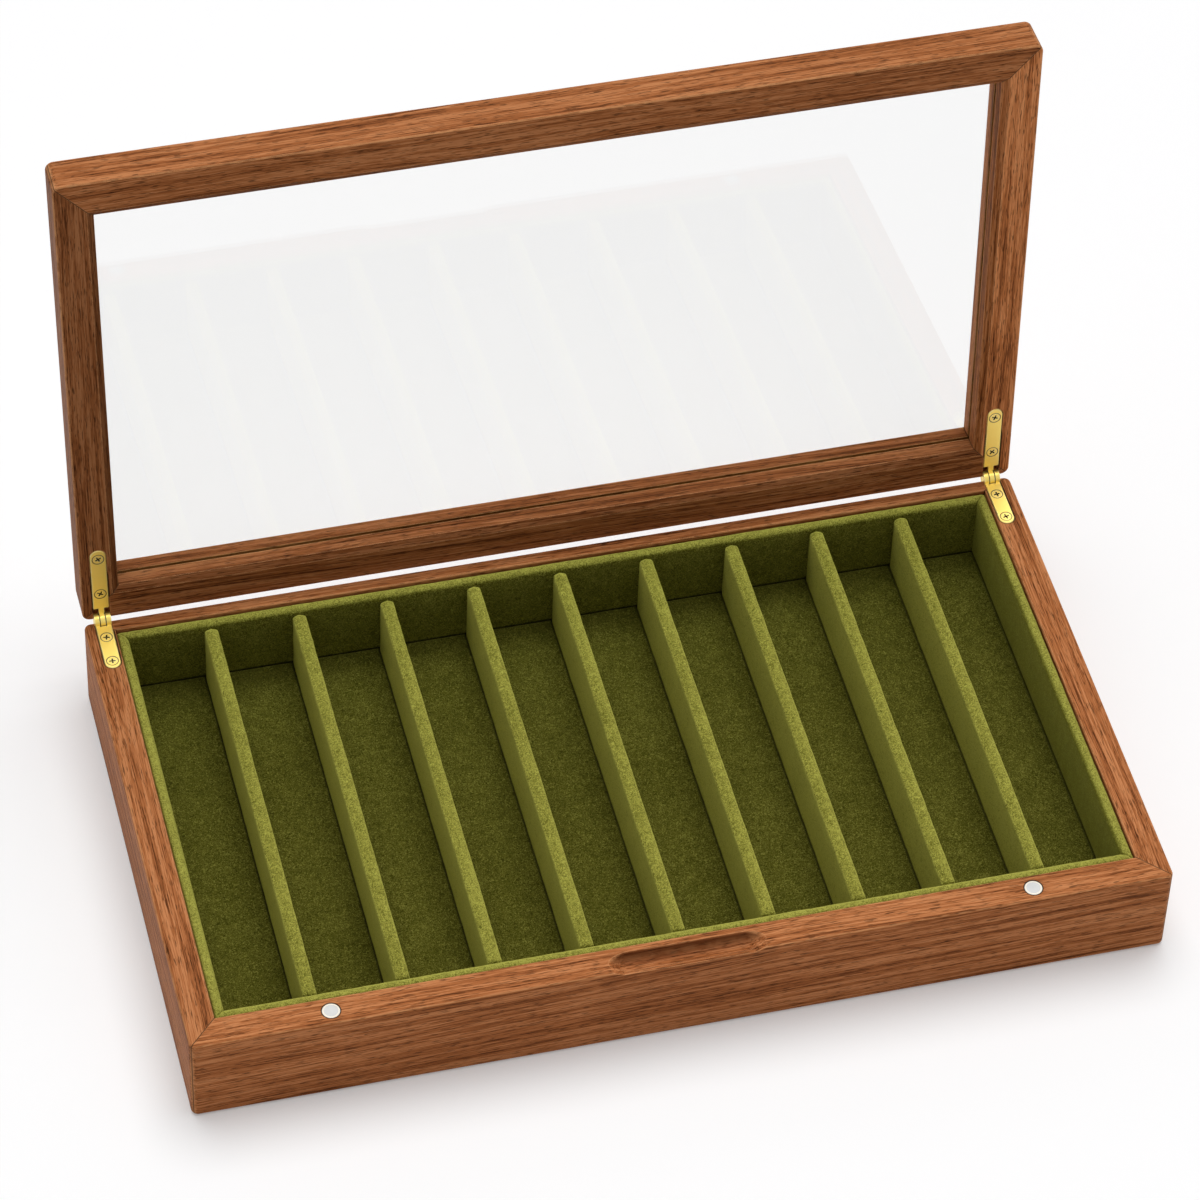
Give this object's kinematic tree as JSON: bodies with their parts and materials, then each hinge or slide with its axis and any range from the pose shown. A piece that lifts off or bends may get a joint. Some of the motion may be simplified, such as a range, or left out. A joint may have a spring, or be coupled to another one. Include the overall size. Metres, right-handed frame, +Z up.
{
  "type": "glass_jewelry_box",
  "caption": "Shallow walnut jewelry case with a glazed lid on brass side-rail hinges and an olive velvet liner of long compartments",
  "frame": {"origin": "centre of the underside of the case, on the surface that it stands on", "axes": "+Z up, +X to the right along the long front rail, +Y from the front rail back to the hinges"},
  "size_m": [0.35, 0.2296, 0.2377],
  "materials": {
    "walnut": "satin",
    "panel_wood": "matte",
    "olive_velvet": "matte",
    "brass": "polished",
    "nickel_plate": "satin",
    "keeper_steel": "matte",
    "clear_glass": "polished"
  },
  "bodies": {
    "case": {"case_back_rail": "walnut", "case_bottom_panel": "panel_wood", "case_front_rail": "walnut", "case_hinge_leaf_left": "brass", "case_hinge_leaf_right": "brass", "case_hinge_screws": "brass", "case_left_rail": "walnut", "case_right_rail": "walnut", "divider_1": "olive_velvet", "divider_2": "olive_velvet", "divider_3": "olive_velvet", "divider_4": "olive_velvet", "divider_5": "olive_velvet", "divider_6": "olive_velvet", "divider_7": "olive_velvet", "divider_8": "olive_velvet", "divider_9": "olive_velvet", "hinge_pin_left": "brass", "hinge_pin_right": "brass", "liner_back": "olive_velvet", "liner_floor_pad": "olive_velvet", "liner_front": "olive_velvet", "liner_left": "olive_velvet", "liner_right": "olive_velvet", "magnet_left": "nickel_plate", "magnet_right": "nickel_plate"},
    "lid": {"lid_back_rail": "walnut", "lid_front_rail": "walnut", "lid_glass": "clear_glass", "lid_hinge_leaf_left": "brass", "lid_hinge_leaf_right": "brass", "lid_hinge_screws": "brass", "lid_keeper_left": "keeper_steel", "lid_keeper_right": "keeper_steel", "lid_left_rail": "walnut", "lid_right_rail": "walnut"}
  },
  "joints": [
    {"name": "lid_hinge", "type": "hinge", "parent": "case", "child": "lid", "pos_m": [0, 0.1006, 0.03765], "axis": [1, 0, 0], "range_deg": [0, 94]}
  ]
}
